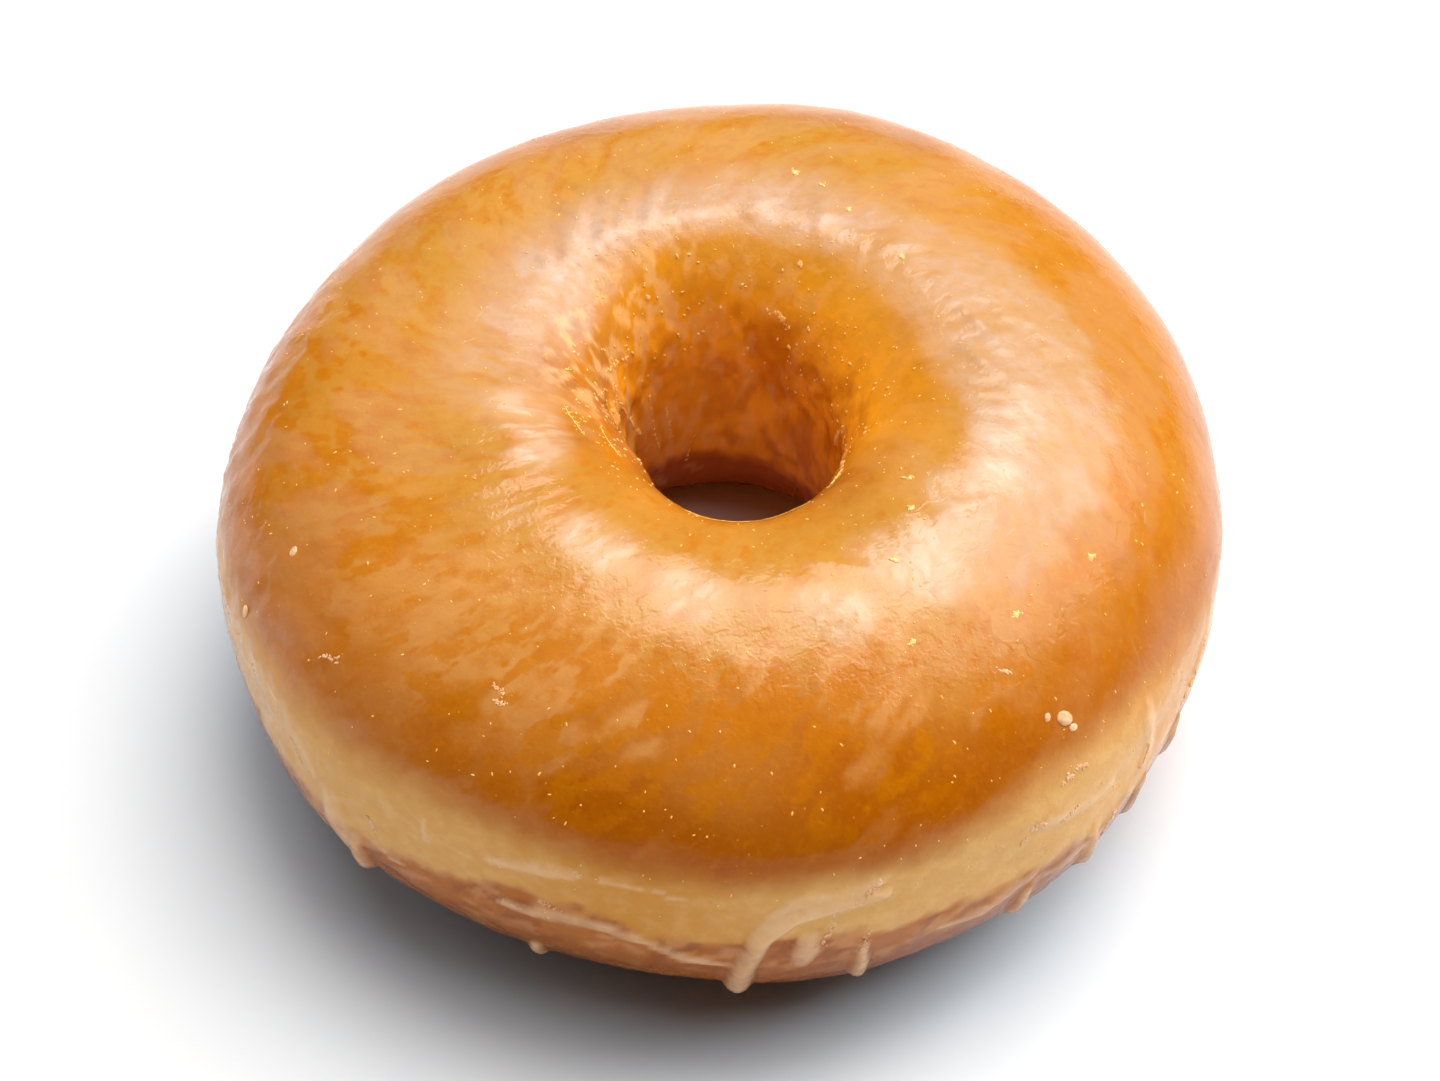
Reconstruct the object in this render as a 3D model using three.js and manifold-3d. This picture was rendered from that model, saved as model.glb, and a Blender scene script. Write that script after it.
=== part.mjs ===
// A glazed ring doughnut in millimetres, +Z up, resting on its foot at z = 0.
// Azimuths turn from +X, the right-hand side, and 270 degrees is the front, -Y.
// It is one solid: the ring of dough with the thick glaze drips of its lower edge fused on.
import * as THREE from "three";
import { mergeVertices } from "three/addons/utils/BufferGeometryUtils.js";
import Module from "manifold-3d";

// Driving dimensions of the ring
const OUTER_RADIUS = 46;
const HOLE_RADIUS = 10.7;
const CREST_RADIUS = 22;
const HEIGHT = 36.5;
const OUTER_WAIST = 19.4;
const HOLE_WAIST = 20.8;
const FOOT_OUTER = 31;
const FOOT_INNER = 21.5;

// How full each quarter of the section is: 2 is an ellipse, and more is squarer
const FULLNESS = { outerTop: 2.4, holeTop: 2.4, holeFoot: 2.13, outerFoot: 2.3 };

// Where the dough wanders from true circles: [lobes round the ring, size, azimuth of one lobe]
const OUTER_LOBES = [
  [2, 0.82, 76],
  [3, 0.57, -43],
  [4, 0.19, 34],
  [5, 0.22, -2],
  [7, 0.09, -25],
  [8, 0.07, -3],
  [9, 0.1, -10],
  [12, 0.1, 13],
];
const HOLE_LOBES = [
  [1, 1.4, 60],
  [2, 1.7, -75],
  [3, 0.5, 22],
  [4, 0.25, 5],
];
const CREST_LOBES = [[1, 1, -35]];
const HEIGHT_LOBES = [
  [2, 0.2, 30],
  [3, 0.15, 95],
];

// The float line, where the dough sat in the oil, is drawn in a little
const LINE_HEIGHT = 21;
const LINE_HALF_WIDTH = 3;
const LINE_PINCH = 0.25;

// Steps of the mesh
const STEPS_ROUND = 84;
const STEPS_QUARTER = 8;
const STEPS_FOOT = 2;

// Glaze drips on the outer edge. Each is a path of [azimuth, height] down to its tip. It starts thin,
// has grown to its full radius at one share of its length, and closes from another one on.
const DRIP_START = 0.25;
const DRIP_SINK = 0.45;
const DRIP_GROWN = 0.75;
const DRIP_CLOSES = 0.8;
const DRIP_SIDES = 8;
const DRIP_STEPS = 9;
const DRIP_ENDS = 2;
const DRIPS = [
  { radius: 1.15, path: [[286, 22.4], [281, 21.8], [277, 20.8], [273.8, 18], [272.2, 13], [271.6, 7.6]] },
  { radius: 0.8, path: [[284.2, 15.5], [284.4, 12.5], [284.6, 8.8]] },
  { radius: 0.95, path: [[229, 16], [228.2, 13], [227.8, 9.8]] },
  { radius: 0.8, path: [[249.5, 10], [249, 8], [248.8, 6]] },
  { radius: 0.7, path: [[303.4, 14.5], [303.2, 12.4], [303, 10]] },
  { radius: 0.85, path: [[312, 16.4], [312.4, 14], [312.6, 11.2]] },
  { radius: 0.7, path: [[321.6, 15.6], [321.2, 13.4], [321, 11.2]] },
  { radius: 0.7, path: [[330.4, 16], [330, 13.8], [329.8, 11.6]] },
  { radius: 0.95, path: [[14, 16], [13.4, 12.6], [13, 9.2]] },
  { radius: 0.7, path: [[41, 13.4], [41.5, 11.4], [41.8, 9.2]] },
  { radius: 1.1, path: [[74.4, 19], [73.2, 14.2], [73, 8.6]] },
  { radius: 0.7, path: [[102, 13], [102.2, 11], [102.6, 9]] },
  { radius: 0.9, path: [[133, 16], [133.6, 12.4], [134, 8.8]] },
  { radius: 0.7, path: [[161.4, 14], [161, 11.8], [161, 9.4]] },
  { radius: 0.8, path: [[190.5, 15.4], [190, 12.8], [190, 10]] },
];

const CRUST_COLOUR = 0xd98a35;
const CRUST_ROUGHNESS = 0.3;

const radians = THREE.MathUtils.degToRad;

function wander(lobes, azimuth) {
  let sum = 0;
  for (const [count, size, peak] of lobes) sum += size * Math.cos(count * (azimuth - radians(peak)));
  return sum;
}

// The ring's edges, crest and foot at one azimuth, and the pinch of the float line at a height
const outerEdge = (azimuth) => OUTER_RADIUS + wander(OUTER_LOBES, azimuth);
const holeEdge = (azimuth) => HOLE_RADIUS + wander(HOLE_LOBES, azimuth);
const crestLine = (azimuth) => CREST_RADIUS + wander(CREST_LOBES, azimuth);
const crestHeight = (azimuth) => HEIGHT + wander(HEIGHT_LOBES, azimuth);
const footInner = () => FOOT_INNER;
const footOuter = () => FOOT_OUTER;
const pinchAt = (height) => LINE_PINCH * Math.exp(-(((height - LINE_HEIGHT) / LINE_HALF_WIDTH) ** 2));

// The four quarters of the section, each between its side, where out is 1, and its crest or foot
const QUARTERS = {
  outerTop: { edge: outerEdge, middleAt: crestLine, waist: OUTER_WAIST, rises: true },
  holeTop: { edge: holeEdge, middleAt: crestLine, waist: HOLE_WAIST, rises: true },
  holeFoot: { edge: holeEdge, middleAt: footInner, waist: HOLE_WAIST, rises: false },
  outerFoot: { edge: outerEdge, middleAt: footOuter, waist: OUTER_WAIST, rises: false },
};

// Radius and height of a quarter's point that is out towards the side and away from the waist
function quarterPoint(name, azimuth, out, away) {
  const { edge, middleAt, waist, rises } = QUARTERS[name];
  const height = rises ? waist + away * (crestHeight(azimuth) - waist) : waist * (1 - away);
  const side = edge(azimuth);
  const middle = middleAt(azimuth);
  const inward = side > middle ? -1 : 1;
  return { radius: middle + out * (side - middle) + inward * out * pinchAt(height), height };
}

// Stations of the section loop: up the outside, down the hole's wall and back under the foot
function sectionStations() {
  const arc = (name, step) => {
    const angle = ((step / STEPS_QUARTER) * Math.PI) / 2;
    const fullness = FULLNESS[name];
    const reach = (Math.cos(angle) ** fullness + Math.sin(angle) ** fullness) ** (-1 / fullness);
    return { name, out: Math.cos(angle) * reach, away: Math.sin(angle) * reach };
  };
  const stations = [];
  for (let step = 0; step < STEPS_QUARTER; step++) stations.push(arc("outerTop", step));
  for (let step = STEPS_QUARTER; step > 0; step--) stations.push(arc("holeTop", step));
  for (let step = 0; step < STEPS_QUARTER; step++) stations.push(arc("holeFoot", step));
  for (let step = 0; step < STEPS_FOOT; step++) stations.push({ name: "foot", along: step / STEPS_FOOT });
  for (let step = STEPS_QUARTER; step > 0; step--) stations.push(arc("outerFoot", step));
  return stations;
}

function stationPoint(station, azimuth) {
  if (station.name !== "foot") return quarterPoint(station.name, azimuth, station.out, station.away);
  return { radius: FOOT_INNER + station.along * (FOOT_OUTER - FOOT_INNER), height: 0 };
}

// The bare ring: the section loop carried round the axis
function ringGeometry() {
  const stations = sectionStations();
  const count = stations.length;
  const positions = [];
  const faces = [];
  for (let turn = 0; turn < STEPS_ROUND; turn++) {
    const azimuth = (turn / STEPS_ROUND) * 2 * Math.PI;
    for (const station of stations) {
      const { radius, height } = stationPoint(station, azimuth);
      positions.push(radius * Math.cos(azimuth), radius * Math.sin(azimuth), height);
    }
    const next = (turn + 1) % STEPS_ROUND;
    for (let here = 0; here < count; here++) {
      const beside = (here + 1) % count;
      const [a, b] = [turn * count + here, next * count + here];
      const [c, d] = [next * count + beside, turn * count + beside];
      faces.push(a, b, c, a, c, d);
    }
  }
  const geometry = new THREE.BufferGeometry();
  geometry.setAttribute("position", new THREE.Float32BufferAttribute(positions, 3));
  geometry.setIndex(faces);
  return geometry;
}

// A point on the outside of the ring at a height, sunk into the crust or standing proud of it
function onOuterCrust([azimuthDegrees, height], proud) {
  const azimuth = radians(azimuthDegrees);
  const rises = height > OUTER_WAIST;
  const name = rises ? "outerTop" : "outerFoot";
  const reach = rises ? crestHeight(azimuth) - OUTER_WAIST : OUTER_WAIST;
  const away = Math.abs(height - OUTER_WAIST) / reach;
  const out = (1 - away ** FULLNESS[name]) ** (1 / FULLNESS[name]);
  const radius = quarterPoint(name, azimuth, out, away).radius + proud;
  return new THREE.Vector3(radius * Math.cos(azimuth), radius * Math.sin(azimuth), height);
}

// How wide a drip is along its length: a thin start, a full bead near the tip, and a rounded end
function dripSwell(along) {
  const growth = DRIP_START + (1 - DRIP_START) * THREE.MathUtils.smoothstep(along, 0, DRIP_GROWN);
  const close = Math.sqrt(1 - Math.max(0, (along - DRIP_CLOSES) / (1 - DRIP_CLOSES)) ** 2);
  return growth * close;
}

// One drip: rings of points round a path half sunk in the crust, closed by a point at each end
function dripGeometry({ radius, path }) {
  const line = new THREE.CatmullRomCurve3(path.map((place) => onOuterCrust(place, -DRIP_SINK)));
  const positions = [...line.getPointAt(0).toArray(), ...line.getPointAt(1).toArray()];
  const faces = [];
  const ring = (step) => DRIP_ENDS + (step - 1) * DRIP_SIDES;
  for (let step = 1; step < DRIP_STEPS; step++) {
    const along = step / DRIP_STEPS;
    const centre = line.getPointAt(along);
    const forward = line.getTangentAt(along);
    const away = new THREE.Vector3(centre.x, centre.y, 0).normalize();
    const across = new THREE.Vector3().crossVectors(forward, away).normalize();
    away.crossVectors(across, forward);
    for (let side = 0; side < DRIP_SIDES; side++) {
      const angle = (side / DRIP_SIDES) * 2 * Math.PI;
      const reach = radius * dripSwell(along);
      const point = centre.clone().addScaledVector(away, reach * Math.cos(angle));
      positions.push(...point.addScaledVector(across, reach * Math.sin(angle)).toArray());
      const beside = (side + 1) % DRIP_SIDES;
      const here = ring(step);
      if (step === 1) faces.push(0, here + beside, here + side);
      if (step === DRIP_STEPS - 1) faces.push(1, here + side, here + beside);
      else {
        const next = ring(step + 1);
        faces.push(here + side, next + beside, next + side, here + side, here + beside, next + beside);
      }
    }
  }
  const geometry = new THREE.BufferGeometry();
  geometry.setAttribute("position", new THREE.Float32BufferAttribute(positions, 3));
  geometry.setIndex(faces);
  return geometry;
}

const wasm = await Module();
wasm.setup();

function solidFrom(geometry) {
  const merged = mergeVertices(geometry);
  const mesh = new wasm.Mesh({
    numProp: 3,
    vertProperties: merged.attributes.position.array,
    triVerts: new Uint32Array(merged.index.array),
  });
  return new wasm.Manifold(mesh);
}

function geometryFrom(solid) {
  const { vertProperties, triVerts } = solid.getMesh();
  const geometry = new THREE.BufferGeometry();
  geometry.setAttribute("position", new THREE.BufferAttribute(vertProperties, 3));
  geometry.setIndex(new THREE.BufferAttribute(triVerts, 1));
  return geometry;
}

function doughnutMesh() {
  let solid = solidFrom(ringGeometry());
  for (const drip of DRIPS) solid = solid.add(solidFrom(dripGeometry(drip)));
  const geometry = geometryFrom(solid);
  geometry.computeBoundingBox();
  const centre = geometry.boundingBox.getCenter(new THREE.Vector3());
  geometry.translate(-centre.x, -centre.y, 0);
  geometry.computeVertexNormals();
  const crust = new THREE.MeshStandardMaterial({
    color: CRUST_COLOUR,
    roughness: CRUST_ROUGHNESS,
    metalness: 0,
  });
  const mesh = new THREE.Mesh(geometry, crust);
  mesh.name = "doughnut";
  return mesh;
}

const group = new THREE.Group();
group.add(doughnutMesh());

export default group;
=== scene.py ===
# %% [markdown]
# # A glazed ring doughnut
# A yeast-raised ring doughnut is a soft ring of dough that is fried on both sides, which leaves
# a pale line round its middle, and then drowned in thin sugar glaze. Its looks are a brown
# mottled crust, that pale line, and a film of glaze that is clear here and milky there.
# The CAD model gives the size and the form. This script dresses it: it makes a much finer skin
# from the same formulas, adds what the glaze left on it, and lights it as the photograph was lit.

import math

import bpy
import numpy as np
from mathutils import Matrix, Vector, noise


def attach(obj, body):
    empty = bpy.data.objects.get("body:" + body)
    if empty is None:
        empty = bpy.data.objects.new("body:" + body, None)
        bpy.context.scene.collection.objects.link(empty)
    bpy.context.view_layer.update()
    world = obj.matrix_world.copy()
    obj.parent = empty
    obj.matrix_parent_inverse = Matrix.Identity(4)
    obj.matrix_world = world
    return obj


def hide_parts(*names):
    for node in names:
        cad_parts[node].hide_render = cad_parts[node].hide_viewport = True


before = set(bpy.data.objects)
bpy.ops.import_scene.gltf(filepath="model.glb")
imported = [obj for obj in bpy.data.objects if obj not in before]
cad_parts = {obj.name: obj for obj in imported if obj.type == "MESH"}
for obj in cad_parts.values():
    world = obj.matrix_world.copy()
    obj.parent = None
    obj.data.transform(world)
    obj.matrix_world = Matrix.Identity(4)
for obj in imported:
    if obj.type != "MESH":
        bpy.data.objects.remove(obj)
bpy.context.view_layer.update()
for name in ("Cube", "Light", "Camera"):
    if name in bpy.data.objects:
        bpy.data.objects.remove(bpy.data.objects[name])

# %% [markdown]
# ## Camera
# The photograph looks down at the doughnut from about 49 degrees. The camera is placed by
# its distance and angle from a point it aims at, so that the numbers keep a plain meaning.

# %% Place the camera
MM = 0.001
WHOLE_TURN = 2 * math.pi
CAMERA_ELEVATION = math.radians(49)
CAMERA_ROLL = math.radians(0.4)
CAMERA_DISTANCE = 230 * MM
CAMERA_AIM = Vector((-0.08, -2.53, 16.22)) * MM
SENSOR_WIDTH = 36.0
LENS = 62.43


def add_object(name, data):
    """An object in the scene that holds a mesh, a lamp or a camera."""
    made = bpy.data.objects.new(name, data)
    bpy.context.scene.collection.objects.link(made)
    return made


camera_data = bpy.data.cameras.new("photo_camera")
camera_data.sensor_fit = "HORIZONTAL"
camera_data.sensor_width = SENSOR_WIDTH
camera_data.lens = LENS
camera_data.clip_start = 0.01
camera_data.clip_end = 50.0
camera = add_object("photo_camera", camera_data)
backwards = Vector((0, -math.cos(CAMERA_ELEVATION), math.sin(CAMERA_ELEVATION)))
camera.location = CAMERA_AIM + CAMERA_DISTANCE * backwards
tilt = Matrix.Rotation(math.pi / 2 - CAMERA_ELEVATION, 4, "X")
camera.rotation_euler = (tilt @ Matrix.Rotation(CAMERA_ROLL, 4, "Z")).to_euler()
bpy.context.scene.camera = camera
print("camera at", [round(value, 3) for value in camera.location])

# %% [markdown]
# ## The form
# Small waves in the outer edge, in the hole and in the crest make it a ring that hands have
# stretched. These are the CAD's own numbers, in millimetres, because the skin has to lie where
# the solid is. Each wavy line has its mean size and its waves: how many of them go round the
# ring, how far they reach, and at what azimuth they are highest.

# %% The ring's dimensions
OUTER_EDGE = (46.0, [(2, 0.82, 76), (3, 0.57, -43), (4, 0.19, 34), (5, 0.22, -2),
                     (7, 0.09, -25), (8, 0.07, -3), (9, 0.1, -10), (12, 0.1, 13)])
HOLE_EDGE = (10.7, [(1, 1.4, 60), (2, 1.7, -75), (3, 0.5, 22), (4, 0.25, 5)])
CREST_LINE = (22.0, [(1, 1.0, -35)])
TOP = (36.5, [(2, 0.2, 30), (3, 0.15, 95)])
OUTER_WAIST, HOLE_WAIST = 19.4, 20.8
FOOT_INNER, FOOT_OUTER = 21.5, 31.0
AXIS = np.array([0.325, -0.021])
LINE_HEIGHT = 21.0
LINE_HALF_WIDTH = 3.0
LINE_PINCH = 0.25


def wander(line, azimuth):
    """The size of a wavy line at an azimuth."""
    mean, waves = line
    return mean + sum(reach * np.cos(count * (azimuth - math.radians(peak)))
                      for count, reach, peak in waves)


print("the front stands", wander(OUTER_EDGE, math.radians(270)).round(1), "mm from the middle")

# %% [markdown]
# ### The section
# The ring's section is four quarters of a superellipse, a curve between an ellipse and a box:
# the outside and the hole's side, each above and below its widest place, the waist. One curve
# for each quarter is enough for a plump section, and the pale line only draws it in a little.

# %% Shape the section
# Quarter of the section: its edge, its middle, the waist's height, fullness, and if it rises
QUARTERS = {
    "outer_top": (OUTER_EDGE, CREST_LINE, OUTER_WAIST, 2.4, True),
    "hole_top": (HOLE_EDGE, CREST_LINE, HOLE_WAIST, 2.4, True),
    "hole_foot": (HOLE_EDGE, (FOOT_INNER, []), HOLE_WAIST, 2.13, False),
    "outer_foot": (OUTER_EDGE, (FOOT_OUTER, []), OUTER_WAIST, 2.3, False),
}


def quarter_point(name, azimuth, out, away):
    """Radius and height of the point that is out towards the side and away from the waist."""
    edge, centre, waist, _, rises = QUARTERS[name]
    side, middle = wander(edge, azimuth), wander(centre, azimuth)
    height = waist + away * (wander(TOP, azimuth) - waist) if rises else waist * (1 - away)
    inward = np.where(side > middle, -1, 1)
    pinch = LINE_PINCH * np.exp(-(((height - LINE_HEIGHT) / LINE_HALF_WIDTH) ** 2))
    return middle + out * (side - middle) + inward * out * pinch, height


print("the crest stands", quarter_point("outer_top", math.radians(270), 0, 1)[1].round(1), "mm high")

# %% [markdown]
# ## Stations and turns
# The skin is a grid: stations along the section, carried round the ring in turns. Stations
# stand at equal distances along the curve, and turns are closer together at the front, where
# the photograph shows most, so that every part of the grid earns its triangles.

# %% Lay out the grid
TURNS = 520
FRONT = math.radians(270)
FRONT_CROWDING = 0.35
QUARTER_STEPS = {"outer_top": 66, "hole_top": 50, "hole_foot": 24, "outer_foot": 42}
FOOT_STEPS = 6
FINE = 2000


def equal_steps(name, steps):
    """Places on a quarter, as shares out and away, that are equal distances apart."""
    fullness = QUARTERS[name][3]
    angle = np.linspace(0, math.pi / 2, FINE)
    cosine = np.clip(np.cos(angle), 0, 1)
    sine = np.sin(angle)
    reach = (cosine**fullness + sine**fullness) ** (-1 / fullness)
    out, away = cosine * reach, sine * reach
    radius, height = quarter_point(name, 0.0, out, away)
    length = np.concatenate([[0], np.cumsum(np.hypot(np.diff(radius), np.diff(height)))])
    chosen = np.interp(np.linspace(0, length[-1], steps + 1), length, angle)
    return np.interp(chosen, angle, out), np.interp(chosen, angle, away)


def ring_grid(azimuth):
    """Radius and height of every station at every azimuth, up the outside and down the hole."""
    turn = azimuth[:, None]
    columns = []
    for name, backwards in (("outer_top", False), ("hole_top", True), ("hole_foot", False),
                            ("foot", False), ("outer_foot", True)):
        if name == "foot":
            flat = np.linspace(FOOT_INNER, FOOT_OUTER, FOOT_STEPS, endpoint=False)
            columns.append((flat + 0 * turn, 0 * flat * turn))
            continue
        shares = equal_steps(name, QUARTER_STEPS[name])
        out, away = [share[:0:-1] if backwards else share[:-1] for share in shares]
        columns.append(quarter_point(name, turn, out[None, :], away[None, :]))
    return [np.concatenate([part + 0 * turn for part in parts], axis=1) for parts in zip(*columns)]


even = np.linspace(0, WHOLE_TURN, TURNS, endpoint=False)
azimuth = even - FRONT_CROWDING * np.sin(even - FRONT)
radius, height = ring_grid(azimuth)
turns, stations = radius.shape
around = np.broadcast_to(azimuth[:, None], radius.shape)
print("turns", turns, "stations", stations, "triangles", 2 * turns * stations)

# %% [markdown]
# ## Where things are on the skin
# Relief and colour both need to know where a point is: how far along the section it lies from
# the crest, and how high it stands over the two edges of the pale line. Those edges wander, so
# they are tables of azimuth in degrees and height in mm. Past 360 degrees the tables go on round.

# %% Measure along the section and from the pale line
UNDER_FOOT = -52.0
FOOT_GAP = 0.5
crest_station = QUARTER_STEPS["outer_top"]
step_length = np.hypot(np.diff(radius.mean(0)), np.diff(height.mean(0)))
travelled = np.concatenate([[0], np.cumsum(step_length)])
# Above 0 outside the crest and below 0 inside it. The far side of the foot counts as outside
from_crest = travelled[crest_station] - travelled
from_crest = np.where(from_crest < UNDER_FOOT, from_crest + travelled[-1] + FOOT_GAP, from_crest)
along = np.broadcast_to(from_crest[None, :], radius.shape)

LINE_TOP = [
    (222, 29.3), (236, 29), (250, 27.4), (260, 26.8), (270, 26.4), (280, 26.6), (292, 26.8),
    (304, 29.5), (316, 30), (345, 27), (375, 26.5), (405, 27.5), (440, 27), (480, 28),
    (510, 27), (545, 28), (570, 29)]
LINE_FOOT = [
    (222, 17), (236, 17), (243, 18.2), (250, 19.6), (256, 18.6), (262, 17.6), (271, 17.2),
    (280, 17.9), (290, 17.3), (297, 17), (304, 17.4), (312, 16.2), (322, 16), (340, 16.8),
    (370, 17.8), (400, 16.6), (440, 18.8), (470, 17.2), (510, 18.4), (550, 17.4), (570, 17)]


def by_azimuth(table, column=1):
    """A column of a table whose first column is the azimuth, at every turn."""
    columns = np.array(table).T
    return np.interp(np.degrees(azimuth), columns[0], columns[column], period=360)[:, None]


over_line = height - by_azimuth(LINE_TOP)
under_line = by_azimuth(LINE_FOOT) - height
outside = radius > wander(CREST_LINE, around)
print("section length in mm", round(travelled[-1], 1))

# %% [markdown]
# ## Noise on the skin
# Real dough is never smooth or evenly coloured, so both come from layers of smooth noise. Some
# live in a space that is wrapped round the ring, to draw a pattern out the way the glaze ran.

# %% Make layers of noise
GRAIN_RADIUS = 28.0
OCTAVE_WEIGHT, OCTAVE_STEP = 1.0, 2.0
SEED_STEP = 17.3


def grain_space(slant=0.0):
    """Coordinates round the ring and along its section, to draw a pattern out along it."""
    turn = around + slant * along
    return np.stack([GRAIN_RADIUS * np.cos(turn), GRAIN_RADIUS * np.sin(turn), along], axis=-1)


def layer(space, size, seed, octaves=2):
    """Smooth noise, about -1 to 1, of a size in mm or of one size along each coordinate."""
    scaled = space.reshape(-1, 3) / np.array(size) + SEED_STEP * seed
    values = [noise.fractal(Vector(spot), OCTAVE_WEIGHT, OCTAVE_STEP, octaves) for spot in scaled]
    return np.array(values).reshape(space.shape[:2])


def smooth(value, start, end):
    """0 before start, 1 after end, and an easy curve between."""
    share = np.clip((value - start) / (end - start), 0, 1)
    return share * share * (3 - 2 * share)


def near(centre, half_width):
    """1 at an azimuth in degrees, fading to 0 at half_width from it."""
    off = np.abs((np.degrees(around) - centre + 180) % 360 - 180)
    return 1 - smooth(off, 0.35 * half_width, half_width)


place = np.stack([radius * np.cos(around), radius * np.sin(around), height], axis=-1)
print("places for noise", turns * stations)

# %% [markdown]
# ## Relief
# Proving leaves broad swells, and frying leaves dimples and bumps. The crown is a low rise that
# follows the crest in a wavy line, as the highlight of the photograph does. The hole has folds,
# where the dough was pressed together, and creases cross the pale line, where it stretched.

# %% Raise the relief of the dough
back_half = near(110, 100)
crown_line = -0.6 + 3.8 * np.cos(around - math.radians(295))
crown = (0.45 - 0.36 * back_half) * np.exp(-(((along - crown_line) / 5.5) ** 2))
swells = 0.2 * layer(place, 13, 1)
dimples = 0.06 * layer(place, 5, 2) + 0.018 * layer(place, 2, 8)
in_hole = smooth(-along, 9, 16)
folds = (0.07 + 0.45 * near(165, 60)) * layer(place, (2.6, 2.6, 5.5), 5, 3)
hole_folds = in_hole * (folds + 0.16 * layer(place, (1.3, 1.3, 1.8), 9, 3))
on_line = smooth(-over_line, -1.5, 1.5) * smooth(-under_line, -1.5, 1.5) * outside
creases = 0.06 * on_line * layer(place, (5, 5, 0.9), 6, 2)
bumps = layer(place, (2.0, 2.0, 2.6), 22, 3) + 0.5 * layer(place, (1.1, 1.1, 1.5), 23, 2)
left_bumps = 0.16 * near(188, 50) * smooth(along, 10, 20) * bumps
low_crust = smooth(under_line, -0.5, 2) * outside * smooth(height, 1.5, 5)
low_bumps = 0.1 * low_crust * layer(place, (2.2, 2.2, 2.6), 7, 3)
print("crown up to", round(crown.max(), 2), "mm, folds", round(hole_folds.max(), 2))

# %% [markdown]
# ### Paths over the skin
# Wrinkles and runs of glaze follow paths. A path is a list of stops, each an azimuth in degrees
# and a distance from the crest in mm. These helpers find the stops on the skin, and how far
# along and beside the path every place lies, on a trail that has a width at every stop.

# %% Follow a path over the skin


def skin_place(azimuth_at, along_at, grid):
    """Where a grid's values lie at an azimuth in degrees and a distance from the crest in mm."""
    wanted = np.radians(np.asarray(azimuth_at, float))
    wanted = azimuth[0] + np.mod(wanted - azimuth[0], WHOLE_TURN)
    row = np.interp(wanted, np.append(azimuth, azimuth[0] + WHOLE_TURN), np.arange(turns + 1))
    stood = np.arange(stations)
    stood = np.where(from_crest > from_crest[0], stood - stations, stood)
    order = np.argsort(from_crest)
    column = np.interp(along_at, from_crest[order], stood[order])
    row_share, column_share = (row % 1)[..., None], (column % 1)[..., None]
    above, left = np.floor(row).astype(int) % turns, np.floor(column).astype(int) % stations
    below, right = (above + 1) % turns, (left + 1) % stations
    upper = grid[above, left] * (1 - column_share) + grid[above, right] * column_share
    lower = grid[below, left] * (1 - column_share) + grid[below, right] * column_share
    return upper * (1 - row_share) + lower * row_share


def path_places(path):
    """Where the stops of a path lie on the smooth ring, in mm."""
    return skin_place(*np.array(path, float).T, place)


def legs(spots):
    """For each leg of a path: its number, and how far along it and off it every place lies."""
    for number, start in enumerate(spots[:-1]):
        step = spots[number + 1] - start
        share = np.clip(((place - start) @ step) / (step @ step), 0, 1)
        yield number, share, np.linalg.norm(place - start - share[..., None] * step, axis=-1)


def trail(path, widths):
    """How far inside a trail each place lies, 1 on its middle, and the trail's half width there."""
    inside, wide = np.zeros(radius.shape), np.full(radius.shape, float(widths[0]))
    for number, share, gap in legs(path_places(path)):
        half = widths[number] + share * (widths[number + 1] - widths[number])
        here = np.clip(1 - (gap / half) ** 2, 0, 1)
        wide = np.where(here > inside, half, wide)
        inside = np.maximum(inside, here)
    return inside, wide


def along_at(height_at):
    """Distance from the crest, over the outside, of a height in mm."""
    levels, distances = height.mean(0)[from_crest > 0], from_crest[from_crest > 0]
    order = np.argsort(levels)
    return float(np.interp(height_at, levels[order], distances[order]))


print("the front crest lies at", path_places([(270, 0)])[0].round(1), "mm")

# %% [markdown]
# ### Wrinkles of the glaze
# Where the glaze slid while it dried it left short soft ridges. The large ones stand where the
# photograph shows them, with fine streaks between, and the smallest are strewn by chance.

# %% Lay the wrinkles
WRINKLE_STANDS = 0.16
WRINKLE_HALF_WIDTH = 0.75
SMALL_WRINKLES = 70
WRINKLES = [
    [(106.8, 6.3), (113.3, 2.1), (121.5, -3)], [(111.4, 6.8), (119.7, 1.6), (129.7, -4.3)],
    [(117, 6.8), (124.3, 2.6), (136, -2.6)], [(123.4, 4.7), (132.4, 0.5), (142.2, -3.4)],
    [(104, 5.3), (108.6, 0.5), (113.3, -3.4)], [(136, 2.1), (144, -1.3)],
    [(192.3, 0), (198.7, -2.6), (203.5, -4.7)], [(198.7, 0), (205.5, -2.1), (212, -4.3)],
    [(209.5, 0), (215.2, -2.1)], [(186.4, -1.7), (190.1, -5.1)], [(169.3, -4.7), (170.9, -8.6)],
    [(23.1, -0.9), (10.7, 0.5), (2, 2.1)], [(23.1, 1.6), (11.6, 3.7)], [(354.4, 1.1), (353.6, 6.3)],
    [(7.5, -2.1), (-4.1, 1.1)], [(342.7, 2.6), (345.6, 6.8)], [(15.6, 4.7), (2, 6.8)],
    [(285.5, 0), (298.2, 3.7)], [(313.4, 1.6), (326.1, 4.7)], [(63, -1), (70, 2)],
    [(48, -2), (40, 2)], [(85, -3), (80, 1)]]


def ridge(path, half_width):
    """1 along a path over the skin and 0 away from it, tapered towards both ends."""
    spots = path_places(path)
    lengths = np.append(0, np.cumsum(np.linalg.norm(np.diff(spots, axis=0), axis=1)))
    best = np.zeros(radius.shape)
    for number, share, gap in legs(spots):
        run = (lengths[number] + share * (lengths[number + 1] - lengths[number])) / lengths[-1]
        taper = np.sqrt(np.clip(4 * run * (1 - run), 0, 1))
        best = np.maximum(best, taper * np.exp(-((gap / half_width) ** 2)))
    return best


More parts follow.
